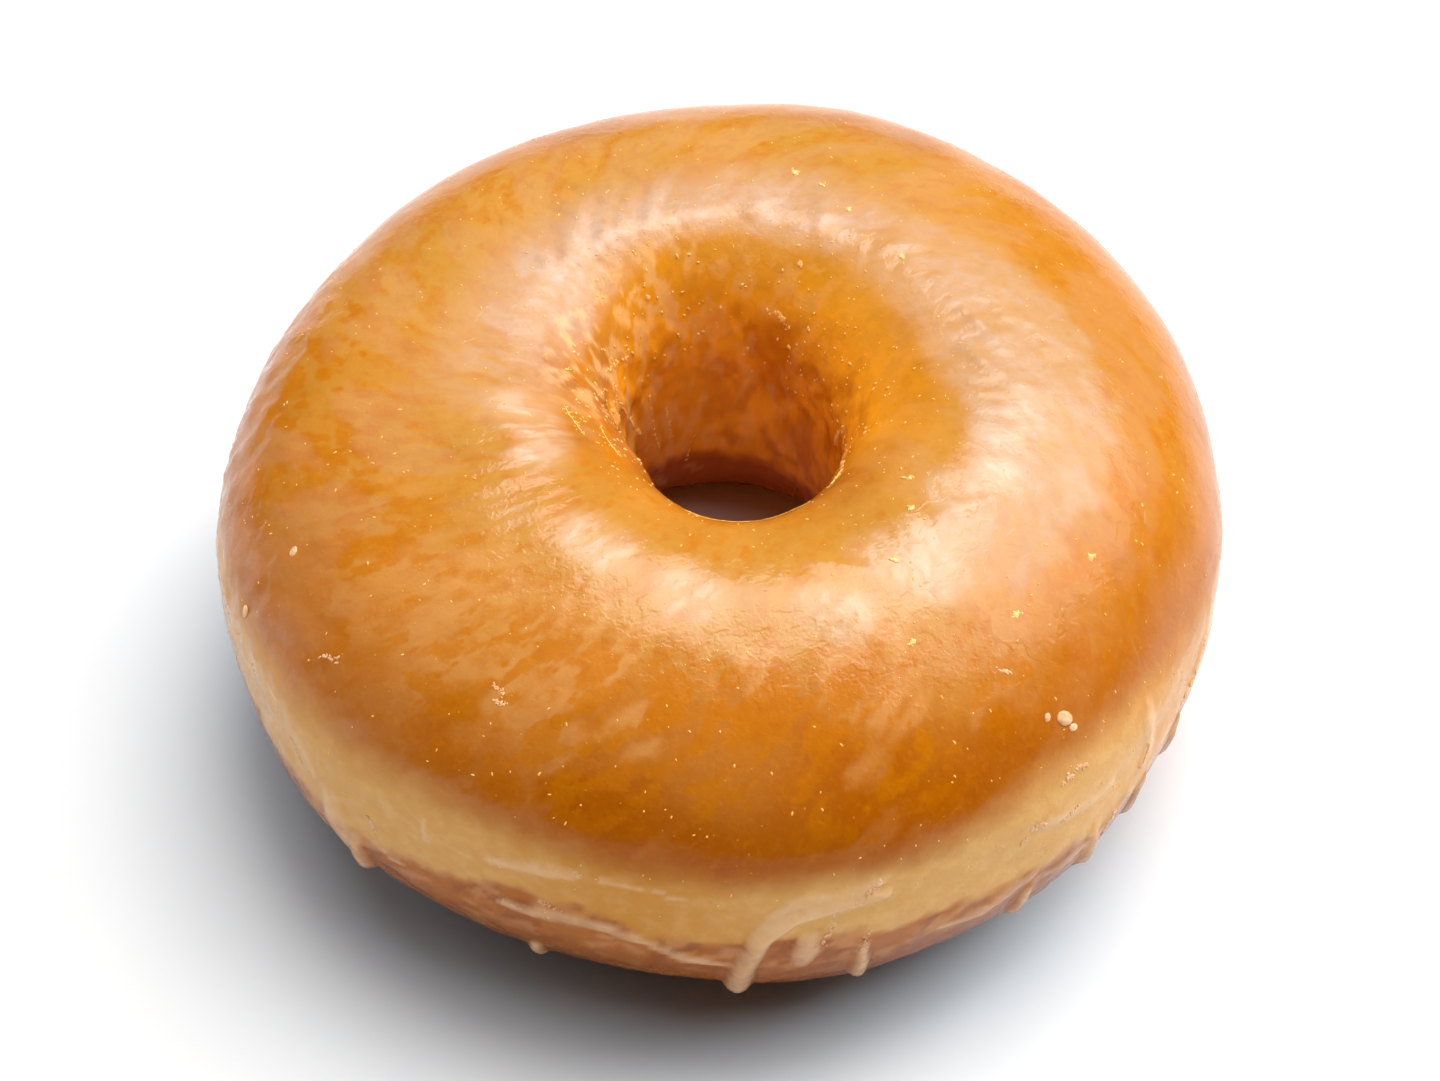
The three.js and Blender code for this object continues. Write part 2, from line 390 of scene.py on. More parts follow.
slant = 0.022 * np.sin(around - math.radians(165))
near_crown = 1 - smooth(np.abs(along - 1), 5, 13)
wrinkled = 0.2 + near(122, 34) + 0.55 * near(208, 26) + 0.7 * near(20, 60)
streaks = 0.5 - 2.2 * np.abs(layer(grain_space(slant), (2.0, 2.0, 11), 3, 2))
wrinkles = 0.06 * near_crown * np.clip(wrinkled, 0, 1) * streaks
for path in WRINKLES:
    wrinkles = wrinkles + WRINKLE_STANDS * ridge(path, WRINKLE_HALF_WIDTH)
chance = np.random.default_rng(11)
for _ in range(SMALL_WRINKLES):
    start = (chance.uniform(0, 360), chance.uniform(-9, 24))
    drift = chance.uniform(-2.5, 2.5)
    reach = chance.uniform(1.2, 3.6)
    small = ridge([start, (start[0] + drift, start[1] + reach)], chance.uniform(0.28, 0.5))
    wrinkles = wrinkles + chance.uniform(-0.06, 0.09) * small
print("wrinkles in mm up to", round(wrinkles.max(), 2))

# %% [markdown]
# ### Runs of glaze
# The glaze ran down over the pale line in soft milky sheets, and the heaviest of them dried as
# drips, which are the CAD's own. Each is a trail that lifts the skin and that the paint makes
# milky. The tables give its half width in mm and its stops, the drips' by azimuth and height.

# %% Lay the drips and the sheets of glaze
DRIPS = [
    (1.15, [(286, 22.4), (281, 21.8), (277, 20.8), (273.8, 18), (272.2, 13), (271.6, 7.6)]),
    (0.8, [(284.2, 15.5), (284.4, 12.5), (284.6, 8.8)]),
    (0.95, [(229, 16), (228.2, 13), (227.8, 9.8)]), (0.8, [(249.5, 10), (249, 8), (248.8, 6)]),
    (0.7, [(303.4, 14.5), (303.2, 12.4), (303, 10)]),
    (0.85, [(312, 16.4), (312.4, 14), (312.6, 11.2)]),
    (0.7, [(321.6, 15.6), (321.2, 13.4), (321, 11.2)]),
    (0.7, [(330.4, 16), (330, 13.8), (329.8, 11.6)]), (0.95, [(14, 16), (13.4, 12.6), (13, 9.2)]),
    (0.7, [(41, 13.4), (41.5, 11.4), (41.8, 9.2)]), (1.1, [(74.4, 19), (73.2, 14.2), (73, 8.6)]),
    (0.7, [(102, 13), (102.2, 11), (102.6, 9)]), (0.9, [(133, 16), (133.6, 12.4), (134, 8.8)]),
    (0.7, [(161.4, 14), (161, 11.8), (161, 9.4)]), (0.8, [(190.5, 15.4), (190, 12.8), (190, 10)])]
SHEETS = [
    (0.8, [(286, 28.7), (283.7, 29.6), (281.3, 30.1), (277.7, 30.2), (275.4, 32), (273.2, 34.8)]),
    (0.9, [(245.8, 31.1), (250.2, 30.1), (254.9, 29.6)]), (0.5, [(257.7, 29.4), (261.9, 29.6)]),
    (0.4, [(263.2, 29.6), (266.2, 30.3)]),
    (0.8, [(246.8, 36.4), (251.1, 35.9), (257.7, 35.5), (262.8, 36.7)]),
    (0.7, [(262.8, 36.7), (266, 38.5), (270.5, 39.3)]),
    (1.2, [(278.6, 34.9), (278.4, 37.2), (278.1, 39.2)]),
    (0.9, [(293.2, 38.5), (297.7, 38.6), (300.3, 37.2), (303.5, 36.6)]),
    (0.7, [(305.6, 38.5), (308.3, 38.4), (311.7, 38)]),
    (0.7, [(313.4, 38.4), (315.1, 37), (318.6, 36.4)]),
    (0.7, [(319.9, 34), (321.7, 33), (321.1, 29.1), (321.1, 26.7)]),
    (0.8, [(331.8, 35.3), (334.5, 34.4), (337.2, 32), (338.6, 28.2)]),
    (0.6, [(303.5, 30.1), (307.8, 31.1), (311.7, 31.8), (314.6, 31.8)]),
    (1.7, [(226, 33.4), (226.6, 37), (227.4, 41)]),
    (0.35, [(231.7, 35.9), (233.3, 37), (235.5, 37.6)]), (0.5, [(238.1, 29.6), (238.3, 32)]),
    (0.6, [(206.2, 30.6), (209.5, 32), (212, 33)]),
    (0.5, [(218.9, 29.1), (221.9, 30.4), (223.1, 33)]), (1.1, [(117, -36), (113, -38)]),
    (0.8, [(104, -35), (99.3, -36.6)]), (0.9, [(170.9, -14.4), (152, -21), (134, -29)]),
    (0.5, [(124.3, -21.3), (122.5, -25.4), (118, -30.5)]), (0.5, [(115.1, -24.4), (112.3, -29.7)]),
    (0.9, [(153.5, -12.6), (150, -16.7), (137.8, -21.7), (130.6, -25.4)]),
    (0.7, [(130.6, -25.4), (120.6, -29.7), (115.1, -34.1)]),
    (0.5, [(127.9, -21.3), (124.3, -24.4), (117.9, -28.7)]), (0.5, [(9.9, -16.3), (21, -20.4)]),
    (0.6, [(335.2, -13.5), (350, -15)])]
DRIP_STANDS = 0.75
SHEET_STANDS = 0.22
SHEET_SPREAD = 1.3
glaze_height, glaze_share = np.zeros(radius.shape), np.zeros(radius.shape)
for half_width, path in DRIPS:
    growing = [half_width * (0.6 + 0.5 * share) for share in np.linspace(0, 1, len(path))]
    inside, wide = trail([(at, along_at(level)) for at, level in path], growing)
    glaze_height = np.maximum(glaze_height, DRIP_STANDS * wide * inside**0.8)
    glaze_share = np.maximum(glaze_share, smooth(inside, 0.0, 0.7))
for half_width, path in SHEETS:
    swell = [math.sin(math.pi * share) for share in np.linspace(0, 1, len(path))]
    inside, wide = trail(path, [SHEET_SPREAD * half_width * (0.6 + 0.4 * part) for part in swell])
    glaze_height = np.maximum(glaze_height, SHEET_STANDS * wide * inside)
    glaze_share = np.maximum(glaze_share, 0.85 * smooth(inside, 0.05, 0.8))
print("drips", len(DRIPS), "sheets", len(SHEETS), "up to", round(glaze_height.max(), 2), "mm")

# %% [markdown]
# ## Where the paint goes
# The paint needs maps of where the crust is brown, gold or milky. A map holds a number from 0
# to 1 for every place of the grid. The mesh carries it to the shader, which adds finer noise.
# Browning comes first: mottles that are drawn out down the sides and even in the hole, where
# drawn-out ones would look like hair, then broad patches and freckles.

# %% Map the browning
maps = {}
slanted = grain_space(0.02)
in_mouth = smooth(-along, 0, 8)


def patchwork(size, stretch, seed, octaves):
    """Noise drawn out along the section on the crown and the sides, and even in the hole."""
    drawn_out = layer(slanted, (size, size, stretch * size), seed, octaves)
    even_noise = layer(place, 1.2 * size, seed, octaves)
    return (1 - in_mouth) * drawn_out + in_mouth * even_noise


mottle = smooth(patchwork(1.4, 1.6, 11, 5) + 0.6 * layer(place, 7, 18, 2), 0.0, 0.35)
uneven = smooth(patchwork(1.7, 1.6, 41, 5), -0.35, 0.45)
milky = smooth(patchwork(4.0, 1.5, 14, 4), -0.2, 0.25)
ragged = layer(place, (3, 3, 2.4), 15, 3)
front_centre = near(270, 45)
patches = smooth(layer(grain_space(), (10, 10, 14), 12, 3), -0.35, 0.35)
maps["patches"] = patches * (1 - 0.4 * front_centre)
maps["freckles"] = smooth(layer(place, 1.1, 13, 3), 0.05, 0.6)
maps["mottle"] = mottle
print("mottled share", round(mottle.mean(), 2), "milky share", round(milky.mean(), 2))

# %% [markdown]
# ### Clear spots and painted glare
# Where the glaze ran thin the amber crust shows through, and where the glaze catches the light
# white patches of painted glare are laid on. The large spots stand where the photograph shows
# them, and noise roughens their edges.

# %% Map the clear spots and the painted glare
CLEAR_SPOTS = [
    (302.4, 19.3), (305.6, 21.3), (294.7, 25.3), (315.7, 18.3), (235.5, 18.3), (239.2, 18.3),
    (239.7, 23.3), (245.8, 23.3), (218.3, 23.3), (252.6, 11), (262.8, 12.6), (275, 14),
    (285, 13), (328, 16), (335, 19), (205, 12), (212, 15), (196, 14)]
GLARE_SPOTS = [
    (262, 3.5), (265.5, 3.7), (286.5, 5.3), (289, 6.5), (300, 2), (304, 4), (309, 2.5),
    (306, 6.5), (322, 1), (330, 3), (338, 2), (346, 4), (198, -1.5),
    (204, -3), (210, -3), (216, -2), (240, 1), (246, 1.5)]


def spots_at(places, size):
    """1 at each place, by azimuth and distance from the crest, and 0 further off than its size."""
    found = np.zeros(radius.shape)
    for azimuth_at, distance_at in places:
        gap = np.linalg.norm(place - skin_place(azimuth_at, distance_at, place), axis=-1)
        found = np.maximum(found, np.exp(-((gap / size) ** 2)))
    return found


clear = spots_at(CLEAR_SPOTS, 2.2) + 0.45 * layer(slanted, (1.6, 1.6, 2.4), 31, 4)
clear = smooth(clear, 0.35, 0.75)
# Painted glare: white patches of highlight where the glaze catches the light, broken up by noise.
glare_broken = smooth(layer(slanted, (1.3, 1.3, 2.2), 32, 4), -0.1, 0.3)
maps["painted_glare"] = smooth(spots_at(GLARE_SPOTS, 2.8), 0.15, 0.9) * (0.45 + 0.55 * glare_broken)
quiet = np.clip(near(80, 110) + in_hole, 0, 1)
on_crown = 1 - smooth(np.abs(along - 1), 5, 12)
mottle_shown = np.maximum(mottle * (1 - 0.65 * quiet), clear) * (1 - 0.75 * on_crown)
mottle_shown = np.maximum(mottle_shown, 0.5 * uneven) * (1 - 0.3 * near(350, 90))
maps["mottle_shown"] = mottle_shown
print("clear share", round(clear.mean(), 2))

# %% [markdown]
# ### The milky band and its painted highlight
# A band over the crest is painted milky and pale: partly glaze that dried milky, partly a painted
# highlight. Beside it, at the right and left, the glaze is clear. Each entry of the table has an
# azimuth and the band's inner and outer edge, in mm from the crest.

# %% Map the milky band and its painted highlight
MILK_AND_HIGHLIGHT_EDGES = [
    (290, 5, 6), (300, 2.5, 8.5), (320, 1.5, 11.5), (340, -0.5, 12), (360, -4.6, 10.5),
    (380, -5.4, 8), (400, -5.4, 5.5), (420, -5.4, 2.5), (450, -5.2, 1), (465, -5.4, 1),
    (480, -7.5, 1), (500, -9, 1), (520, -8.3, 1), (540, -6.6, 1), (560, -5.2, 1),
    (580, -1.8, 1), (600, -1.2, 1), (625, 0.5, 2)]
band_start = along - by_azimuth(MILK_AND_HIGHLIGHT_EDGES) + 0.7 * ragged
band_end = along - by_azimuth(MILK_AND_HIGHLIGHT_EDGES, 2) + 1.4 * ragged
begun = smooth(band_start, -1.2, 1.2)
at_crest = begun * (1 - smooth(along, -1, 8)) * (0.15 + 0.75 * back_half)
# Milky glaze together with a painted highlight, strongest at the back and at the right.
milk_and_highlight = (0.2 + 0.5 * back_half + (0.8 - 0.5 * back_half) * milky) * np.clip(at_crest, 0, 1)
at_right = near(0, 82) * begun * (1 - smooth(band_end, -2.0, 2.0))
milk_and_highlight = np.maximum(milk_and_highlight, 0.62 * at_right * (0.65 + 0.35 * milky))
off_front = 1 - near(268, 70)
milk_and_highlight = np.maximum(milk_and_highlight, 0.14 * milky * smooth(along, -14, -6) * off_front)
at_left = near(185, 60) * smooth(-along, 7, 13) * (0.3 + 0.7 * milky)
maps["milk_and_highlight"] = np.clip(milk_and_highlight + 0.1 * at_left, 0, 1)
right_clear = near(0, 66) * smooth(band_end, -1.5, 2.5) * (1 - smooth(along, 20, 26))
left_clear = near(200, 45) * smooth(along + ragged, 2, 7)
left_clear = left_clear * (1 - smooth(along, 17, 22)) * (0.45 + 0.55 * uneven)
maps["clear_band"] = np.maximum(right_clear, left_clear)
print("milky band share", round(maps["milk_and_highlight"].mean(), 2))

# %% [markdown]
# ### Shades of the top
# The flanks are deeper amber than the crown, most of all at the front, where a veil of glaze
# hangs in patches; that amber is partly the crust's own and partly painted shade. The left rim
# has milky glaze and a painted sheen, the back rim is painted a darker amber as painted shade,
# the hole's mouth has painted shade at the sides, and the crust is brownest just over the pale line.

# %% Map the shades of the top
# Deeper amber down the flanks, most at the front: partly the crust's own colour, partly painted shade.
flank_amber_and_shade = smooth(along, 6, 24) * (0.15 + 0.85 * near(262, 88))
maps["flank_amber_and_shade"] = np.maximum(flank_amber_and_shade, smooth(along, 6, 15) * front_centre)
veil = layer(slanted, (3.5, 3.5, 6), 33, 4) + 0.5 * near(236, 26) - 0.3 * near(272, 24)
maps["veil"] = smooth(veil, -0.05, 0.4) * near(265, 80) * smooth(along, 3, 9)
low_flank = smooth(along, 19, 26)
# Milky glaze and a painted sheen low on the flank, at the left rim and a little at the right.
rim_milk_and_sheen = (0.45 + 0.55 * milky) * near(196, 46)
maps["rim_milk_and_sheen"] = np.maximum(rim_milk_and_sheen, 0.5 * near(340, 26)) * low_flank
# Painted shade: the back rim is painted a darker amber, which tones down its sheen.
maps["rim_painted_shade"] = near(85, 78) * smooth(along, 11, 16)
maps["inner_side"] = 1 - smooth(along, -14, 4)
in_shade = np.maximum(near(345, 60), 0.7 * near(192, 45))
maps["inner_shade"] = in_shade * smooth(-along, 3, 7) * (1 - smooth(-along, 15, 22))
maps["top_browned"] = outside * (1 - smooth(over_line + 1.5 * mottle, 0.5, 7))
print("maps so far", len(maps))

# %% [markdown]
# ### The pale line and the lower crust
# The pale line is dough that stayed out of the oil. It fades softly into the top and meets the
# lower crust at a ragged edge. The lower crust is milky at the front and darker near the ground.

# %% Map the pale line and the lower crust
line_softness = 3.6 + 2.0 * (1 - front_centre)
maps["line_share"] = outside * smooth((0.5 * ragged - over_line) / line_softness, 0, 1)
line_cream = np.maximum(near(296, 36), 0.75 * near(226, 36))
maps["line_cream"] = np.maximum(line_cream, 0.85 * (1 - near(275, 140)))
maps["low_share"] = outside * smooth(1.3 * ragged + under_line, -0.5, 0.9)
low_milky = smooth(layer(place, (3.4, 3.4, 1.8), 51, 4), 0.0, 0.35)
maps["low_milky"] = low_milky * near(270, 130)
maps["low_dark"] = outside * smooth(-height + 1.5 * ragged, -15, -10)
maps["glaze_share"] = glaze_share * (0.4 + 0.6 * near(268, 110))
print("pale line share", round(maps["line_share"].mean(), 2))

# %% [markdown]
# ### The hole
# The hole's wall is painted a bright deep gold, painted light for the light that the dough lets
# through and that bounces in the hole, with brown clouds, and painted shade makes it darkest near
# the ground. At its left and back, milky glaze with painted glints was caught in the folds.

# %% Map the hole
DARK_SPOTS = [(66.7, -17.2), (67.7, -20.4), (67.0, -14.5), (52.0, -25.4), (108.0, -24.0)]
back_right = smooth(np.cos(around - math.radians(50)), -0.4, 0.6)
left_wall = near(126, 76) * smooth(-along, 12, 17)
# Painted light: the hole's wall is painted bright gold, most at the back right and on the left wall.
hole_painted_glow = smooth(-along, 0, 13) * np.clip(0.05 + 0.95 * back_right + left_wall, 0, 1)
maps["hole_painted_glow"] = hole_painted_glow * (1 - 0.15 * mottle)
brown_clouds = smooth(layer(place, (3, 3, 4), 16, 4), -0.05, 0.35)
hole_brown = in_hole * np.maximum(brown_clouds, 1.6 * spots_at(DARK_SPOTS, 2.2))
maps["hole_brown"] = np.clip(hole_brown, 0, 1) * (1 - 0.75 * near(130, 50))
# Milky glaze in the folds of the hole, with painted glints.
hole_milk_and_glints = smooth(layer(place, (1.5, 1.5, 3.6), 61, 4), 0.0, 0.3) * smooth(-along, 3, 8)
maps["hole_milk_and_glints"] = hole_milk_and_glints * np.clip(near(152, 62) + 0.45 * near(90, 60), 0, 1)
# Painted shade low in the hole, near the ground.
near_ground = smooth(10.5 + 1.2 * ragged - height, -1.0, 1.0)
maps["hole_low_painted_shade"] = smooth(-along, 30, 34) * near_ground * (along < 0)
print("maps", len(maps), ", each with", mottle.size, "numbers")

# %% [markdown]
# ## The skin
# The relief moves every place of the grid out along its own direction. The foot is kept flat,
# because the doughnut rests on it.

# %% Move the grid out by the relief
FLAT_FOOT = 0.02


def grid_normals(points):
    """Outward direction at every point of a grid that closes both ways."""
    sideways = np.roll(points, -1, axis=0) - np.roll(points, 1, axis=0)
    down = np.roll(points, -1, axis=1) - np.roll(points, 1, axis=1)
    across = np.cross(sideways, down)
    return across / np.linalg.norm(across, axis=-1, keepdims=True)


foot_calm = smooth(height, 0.2, 3.0)
relief = foot_calm * (crown + swells + dimples + wrinkles + hole_folds + creases + left_bumps
                      + low_bumps + glaze_height)
place[..., :2] += AXIS
normals = grid_normals(place)
skin_points = place + relief[..., None] * normals
skin_points[..., 2] = np.where(height < FLAT_FOOT, 0.0, np.maximum(skin_points[..., 2], 0.0))
print("relief in mm from", round(relief.min(), 2), "to", round(relief.max(), 2))

# %% [markdown]
# ## From numbers to pieces
# One helper makes the mesh of every piece, shades it smooth, lets it ride with the ring and
# gives it its material. Another stores a map in a mesh.

# %% Helpers for pieces


def grid_faces(rows, columns):
    """Corners of the squares of a grid that closes both ways."""
    corner = np.arange(rows * columns).reshape(rows, columns)
    beside = np.roll(corner, -1, axis=0)
    squares = [corner, beside, np.roll(beside, -1, axis=1), np.roll(corner, -1, axis=1)]
    return np.stack(squares, axis=-1).reshape(-1, 4)


def add_mesh(name, points_mm, faces, material):
    """A smooth-shaded mesh in the scene. Its points are in mm."""
    mesh = bpy.data.meshes.new(name)
    mesh.from_pydata((np.asarray(points_mm) * MM).tolist(), [], [list(face) for face in faces])
    mesh.polygons.foreach_set("use_smooth", [True] * len(mesh.polygons))
    mesh.update()
    mesh.materials.append(material)
    return add_object(name, mesh)


def make_piece(name, points_mm, faces, material):
    """A mesh piece that rides with the ring, with its material."""
    piece = add_mesh(name, points_mm, faces, material)
    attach(piece, "root")
    return piece


def carry(piece, name, values):
    """Stores a number for every point of a piece, for its shader to read."""
    attribute = piece.data.attributes.new(name, "FLOAT", "POINT")
    attribute.data.foreach_set("value", np.ascontiguousarray(values, dtype=np.float32).ravel())


skin_faces = grid_faces(turns, stations)
print("squares of the skin", len(skin_faces))

# %% [markdown]
# ## Shader maths
# This class wraps one socket of a node tree, so that the steps of a shader read as plain
# arithmetic: a sum of two adds a Math node, and any other node comes from one method.

# %% A socket that can be reckoned with


class Flow:
    """One value that runs through a material's nodes."""

    def __init__(self, tree, socket):
        self.tree = tree
        self.socket = socket

    def node(self, kind, settings, inputs, output=0):
        """Adds a node: its settings first, then the values or links of its sockets."""
        made = self.tree.nodes.new(kind)
        for name, value in settings.items():
            setattr(made, name, value)
        for name, value in inputs.items():
            if isinstance(value, Flow):
                self.tree.links.new(value.socket, made.inputs[name])
            else:
                made.inputs[name].default_value = value
        return Flow(self.tree, made.outputs[output])

    def maths(self, operation, first, second=0.0):
        return self.node("ShaderNodeMath", {"operation": operation}, {0: first, 1: second})

    def __add__(self, other):
        return self.maths("ADD", self, other)

    __radd__ = __add__

    def __sub__(self, other):
        return self.maths("SUBTRACT", self, other)

    def __rsub__(self, other):
        return self.maths("SUBTRACT", other, self)

    def __mul__(self, other):
        return self.maths("MULTIPLY", self, other)

    __rmul__ = __mul__

    def step(self, start, end):
        """0 before start, 1 after end, and an easy curve between."""
        ranged = {"interpolation_type": "SMOOTHSTEP"}
        limits = {"Value": self, "From Min": start, "From Max": end}
        return self.node("ShaderNodeMapRange", ranged, limits)

    def vector(self, operation, inputs, output=0):
        """Adds a Vector Math node whose first input is this value."""
        inputs = {0: self, **inputs}
        return self.node("ShaderNodeVectorMath", {"operation": operation}, inputs, output)

    def pattern_place(self, size, seed):
        """A place in mm, as a place in a pattern of a size in mm."""
        scale = [1 / side for side in np.broadcast_to(size, 3)]
        return self.vector("MULTIPLY_ADD", {1: scale, 2: (seed, 3.1 * seed, 7.7 * seed)})

    def clouds(self, size, seed, detail=2.0, rough=0.5):
        """Smooth noise from 0 to 1, of a size in mm."""
        setting = {"Vector": self.pattern_place(size, seed), "Scale": 1.0, "Detail": detail,
                   "Roughness": rough}
        return self.node("ShaderNodeTexNoise", {}, setting)

    def dots(self, spacing, size, share, seed):
        """Round dots of a size in mm, on a share of the cells of a spacing in mm, from 0 to 1."""
        setting = {"Vector": self.pattern_place(spacing, seed), "Scale": 1.0, "Randomness": 1.0}
        distance = self.node("ShaderNodeTexVoronoi", {}, setting)
        colour = self.node("ShaderNodeTexVoronoi", {}, setting, output=1)
        chosen = self.node("ShaderNodeSeparateColor", {}, {0: colour})
        edge = size / spacing / 2
        return (1.0 - distance.step(edge * 0.6, edge)) * (1.0 - chosen.step(share, share + 0.02))


print("Flow can", ", ".join(name for name in vars(Flow) if name[0] != "_"))

# %% [markdown]
# ### Helpers for materials
# Shaders reckon in linear light, and paint charts don't, so one helper turns a chart's colour
# into a shader's. The others blend two colours, start a material, and read a map of the mesh.

# %% Helpers for materials


def blend(mask, first, second):
    """Goes from the first colour to the second as the mask goes from 0 to 1."""
    return mask.node("ShaderNodeMix", {"data_type": "RGBA"}, {0: mask, 6: first, 7: second}, output=2)


def srgb(red, green, blue):
    """A colour as a paint chart gives it, 0 to 255, in the linear light that shaders use."""
    def linear(part):
        part = part / 255
        return part / 12.92 if part <= 0.04045 else ((part + 0.055) / 1.055) ** 2.4
    return (linear(red), linear(green), linear(blue), 1.0)


def new_material(name):
    """An empty material, its shader, and a Flow of the place on it in mm."""
    material = bpy.data.materials.new(name)
    material.use_nodes = True
    tree = material.node_tree
    metres = Flow(tree, tree.nodes.new("ShaderNodeTexCoord").outputs["Object"])
    return material, tree.nodes["Principled BSDF"], metres.vector("SCALE", {"Scale": 1 / MM})


def read(tree, name):
    """A map that the mesh carries, as a Flow."""
    node = tree.nodes.new("ShaderNodeAttribute")
    node.attribute_name = name
    return Flow(tree, node.outputs["Fac"])


def feed(shader, socket, flow):
    """Links a Flow to a socket of the material's shader."""
    flow.tree.links.new(flow.socket, shader.inputs[socket])


print("mid grey in linear light", round(srgb(128, 128, 128)[0], 3))

# %% [markdown]
# ## Fried and glazed crust
# The glaze is a film on the crust, so one material paints both, in coats that each lie where a
# map says: the browning first and the milky glaze last. Some coats are painted light: painted
# shade on the flanks, the back rim and the hole's mouth, and a painted highlight, sheen and glare
# on the glaze. Noise that is finer than the grid is added to the soft maps before they are cut,
# which gives the mottles crisp edges.

# %% Paint the top
crust, shader, spot = new_material("glazed_fried_crust")
tree = crust.node_tree


def coats(colour, layers):
    """Lays coats of paint over a colour, each by its map, its strength and its paint."""
    for name, strength, paint in layers:
        colour = blend(read(tree, name) * strength, colour, srgb(*paint))
    return colour


edge = spot.clouds(1.1, 6.3, 4.0, 0.65) - 0.5
crisp_mottle = (read(tree, "mottle_shown") + edge * 1.1).step(0.12, 0.85)
# The milky band and its painted highlight get ragged edges.
crisp_milk_and_highlight = read(tree, "milk_and_highlight") * (0.9 + edge * 1.5)
CLEAR_AMBER = srgb(183, 103, 0)
MILK_AND_HIGHLIGHT = srgb(194, 160, 136)
top_colour = coats(srgb(183, 128, 50), [
    ("inner_side", 1.0, (166, 98, 18)),
    # Deeper amber on the flanks, partly painted shade.
    ("flank_amber_and_shade", 1.0, (167, 86, 2)),
    ("inner_shade", 0.95, (148, 77, 4)),
    # Painted shade at the back rim.
    ("rim_painted_shade", 0.7, (156, 86, 2)),
    ("patches", 0.5, (197, 136, 60)),
    ("clear_band", 0.6, (186, 110, 2)),
    ("veil", 0.65, (200, 138, 74))])
top_colour = blend(crisp_mottle * 0.75, top_colour, CLEAR_AMBER)
top_colour = coats(top_colour, [("freckles", 0.2, (161, 78, 3))])
# Milky glaze and a painted highlight over the crest.
top_colour = blend(crisp_milk_and_highlight, top_colour, MILK_AND_HIGHLIGHT)
top_colour = coats(top_colour, [
    # White patches of painted glare.
    ("painted_glare", 0.3, (222, 206, 188)),
    # Milky glaze with a painted sheen at the rim.
    ("rim_milk_and_sheen", 0.85, (218, 172, 128)),
    ("top_browned", 0.6, (163, 80, 2))])
print("nodes of the top", len(tree.nodes))

# %% [markdown]
# ### The pale line and the lower crust
# The pale line is the colour of bread, and creamier where glaze dried on it. The lower crust is
# a rosier brown than the top.

# %% Paint the pale line and the lower crust
PALE = srgb(204, 136, 42)
CREAM = srgb(226, 176, 106)
fine = spot.clouds(1.6, 5.3, 2.0, 0.6).step(0.4, 0.7)
line_colour = blend(fine * 0.25 + read(tree, "line_cream") * 0.7, PALE, CREAM)
low_colour = coats(srgb(176, 98, 20), [
    ("mottle", 1.0, (154, 78, 12)),
    ("low_milky", 0.55, (212, 146, 86)),
    ("low_dark", 0.7, (146, 72, 12))])
colour = blend(read(tree, "line_share"), top_colour, line_colour)
colour = blend(read(tree, "low_share"), colour, low_colour)
print("nodes with the line", len(tree.nodes))

# %% [markdown]
# ### The hole, the runs of glaze and the sugar
# The hole takes a strong bright gold paint, which is painted light, since little lamp light comes
# down to it, and painted shade low down. Milky runs go over everything, and then specks of sugar,
# painted bright as glints, as noise for grit and as round dots.

# %% Paint the hole, the runs and the sugar
RUN_MILK = srgb(232, 188, 142)
HOLE_MILK = srgb(255, 206, 140)
SUGAR_AND_GLINT = srgb(222, 146, 44)
# Painted light: the hole's wall is painted bright gold, then brown clouds go over it.
colour = coats(colour, [("hole_painted_glow", 1.0, (255, 168, 34)), ("hole_brown", 0.6, (190, 94, 4))])
# Milky glaze and painted glints in the hole's folds.
colour = blend(read(tree, "hole_milk_and_glints") * (0.4 + edge * 0.5), colour, HOLE_MILK)
# Grit of sugar, painted a little brighter, partly as painted glints.
grit = spot.clouds(0.6, 8.1, 3.0, 0.6).step(0.45, 0.75)
colour = blend(grit * 0.12, colour, SUGAR_AND_GLINT)
# Painted shade near the ground in the hole.
colour = coats(colour, [("hole_low_painted_shade", 1.0, (178, 88, 6))])
run_colour = blend(read(tree, "hole_painted_glow"), RUN_MILK, HOLE_MILK)
colour = blend(read(tree, "glaze_share") * (0.55 + fine * 0.3), colour, run_colour)
# Round specks of sugar, painted bright as glints.
sugar_and_glint_dots = spot.dots(1.0, 0.22, 0.35, 2.7)
colour = blend(sugar_and_glint_dots * 0.5, colour, SUGAR_AND_GLINT)
feed(shader, "Base Color", colour)
print("nodes with the sugar", len(tree.nodes))

# %% [markdown]
# ### Shine and fine relief
# Dried glaze shines softly, and a little less where it is milky. Its flakes and grains are finer
# than the grid, so they come from a Bump node, while all larger forms are geometry.

# %% Set the shine and the bumps
fine_bumps = spot.clouds(0.7, 5.5, 3.0, 0.6)
plates = spot.clouds(2.4, 9.4, 3.0, 0.6).step(0.46, 0.54)
skin_height = fine_bumps * 0.035 + plates * 0.022 + grit * 0.015 + sugar_and_glint_dots * 0.04
bump_setting = {"Strength": 0.6, "Distance": 0.001, "Height": skin_height}
feed(shader, "Normal", skin_height.node("ShaderNodeBump", {}, bump_setting))
feed(shader, "Roughness", 0.16 + read(tree, "milk_and_highlight") * 0.12)
shader.inputs["Specular IOR Level"].default_value = 0.15
print("crust nodes", len(tree.nodes))

# %% [markdown]
# ### The dressed skin
# The skin now becomes a piece that takes the place of the CAD's solid, and carries the maps.

# %% Make the skin
skin = make_piece("fried_crust", skin_points.reshape(-1, 3), skin_faces, crust)
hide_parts("doughnut")
for name, values in maps.items():
    carry(skin, name, values)
print("skin triangles", 2 * len(skin.data.polygons))

